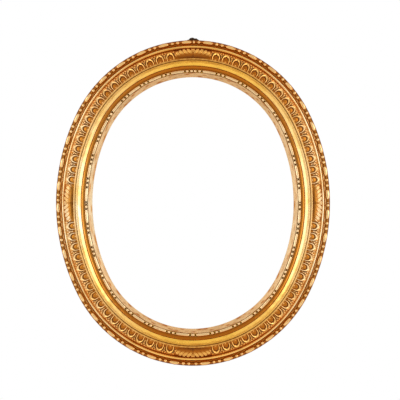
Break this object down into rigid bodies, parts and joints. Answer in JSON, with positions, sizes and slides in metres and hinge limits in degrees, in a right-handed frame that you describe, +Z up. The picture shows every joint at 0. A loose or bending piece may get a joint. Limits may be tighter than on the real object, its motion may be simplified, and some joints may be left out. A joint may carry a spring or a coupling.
{
  "type": "oval picture frame",
  "caption": "Oval gilded wooden picture frame with carved egg-and-dart moulding, bead courses and leaf clasps, with a hanging ring and turn buttons at the back.",
  "frame": {"origin": "centre of the oval in the flat back of the frame, where the wall is", "axes": "+X to the right as seen from the front, +Y backwards into the wall, +Z up; the carved front faces -Y"},
  "size_m": [0.5476, 0.0594, 0.6538],
  "materials": {
    "gilt_carved": "gold leaf over red-brown clay, rubbed on the high points and dark in the recesses",
    "gilt_burnished": "burnished gold leaf",
    "bare_wood": "bare aged softwood",
    "key_wood": "planed hardwood",
    "iron": "dark forged iron",
    "brass": "dulled brass"
  },
  "bodies": {
    "frame": {"back_rail_right": "bare_wood", "back_rail_top": "bare_wood", "back_rail_left": "bare_wood", "back_rail_bottom": "bare_wood", "joint_key_top_right": "key_wood", "joint_key_top_left": "key_wood", "joint_key_bottom_left": "key_wood", "joint_key_bottom_right": "key_wood", "carved_rail_top_right": "gilt_carved", "carved_rail_top_left": "gilt_carved", "carved_rail_bottom_left": "gilt_carved", "carved_rail_bottom_right": "gilt_carved", "liner_top_right": "gilt_burnished", "liner_top_left": "gilt_burnished", "liner_bottom_left": "gilt_burnished", "liner_bottom_right": "gilt_burnished", "outer_beading_top_right": "gilt_carved", "outer_beading_top_left": "gilt_carved", "outer_beading_bottom_left": "gilt_carved", "outer_beading_bottom_right": "gilt_carved", "inner_beading_top_right": "gilt_carved", "inner_beading_top_left": "gilt_carved", "inner_beading_bottom_left": "gilt_carved", "inner_beading_bottom_right": "gilt_carved", "acanthus_clasp_right": "gilt_carved", "acanthus_clasp_top": "gilt_carved", "acanthus_clasp_left": "gilt_carved", "acanthus_clasp_bottom": "gilt_carved", "hanger_eye": "iron", "pivot_screw_right": "brass", "pivot_screw_top_right": "brass", "pivot_screw_top_left": "brass", "pivot_screw_left": "brass", "pivot_screw_bottom_left": "brass", "pivot_screw_bottom_right": "brass"},
    "ring": {"hanging_ring": "iron"},
    "button_right": {"turn_button_right": "brass"},
    "button_top_right": {"turn_button_top_right": "brass"},
    "button_top_left": {"turn_button_top_left": "brass"},
    "button_left": {"turn_button_left": "brass"},
    "button_bottom_left": {"turn_button_bottom_left": "brass"},
    "button_bottom_right": {"turn_button_bottom_right": "brass"}
  },
  "joints": [
    {"name": "ring_swing", "type": "hinge", "parent": "frame", "child": "ring", "pos_m": [0, 0.0058, 0.2982], "axis": [1, 0, 0], "range_deg": [-180, 5]},
    {"name": "button_turn_right", "type": "hinge", "parent": "frame", "child": "button_right", "pos_m": [0.216, 0.0011, 0], "axis": [0, 1, 0], "continuous": true},
    {"name": "button_turn_top_right", "type": "hinge", "parent": "frame", "child": "button_top_right", "pos_m": [0.09436, 0.0011, 0.24247], "axis": [0, 1, 0], "continuous": true},
    {"name": "button_turn_top_left", "type": "hinge", "parent": "frame", "child": "button_top_left", "pos_m": [-0.09436, 0.0011, 0.24247], "axis": [0, 1, 0], "continuous": true},
    {"name": "button_turn_left", "type": "hinge", "parent": "frame", "child": "button_left", "pos_m": [-0.216, 0.0011, 0], "axis": [0, 1, 0], "continuous": true},
    {"name": "button_turn_bottom_left", "type": "hinge", "parent": "frame", "child": "button_bottom_left", "pos_m": [-0.09436, 0.0011, -0.24247], "axis": [0, 1, 0], "continuous": true},
    {"name": "button_turn_bottom_right", "type": "hinge", "parent": "frame", "child": "button_bottom_right", "pos_m": [0.09436, 0.0011, -0.24247], "axis": [0, 1, 0], "continuous": true}
  ]
}
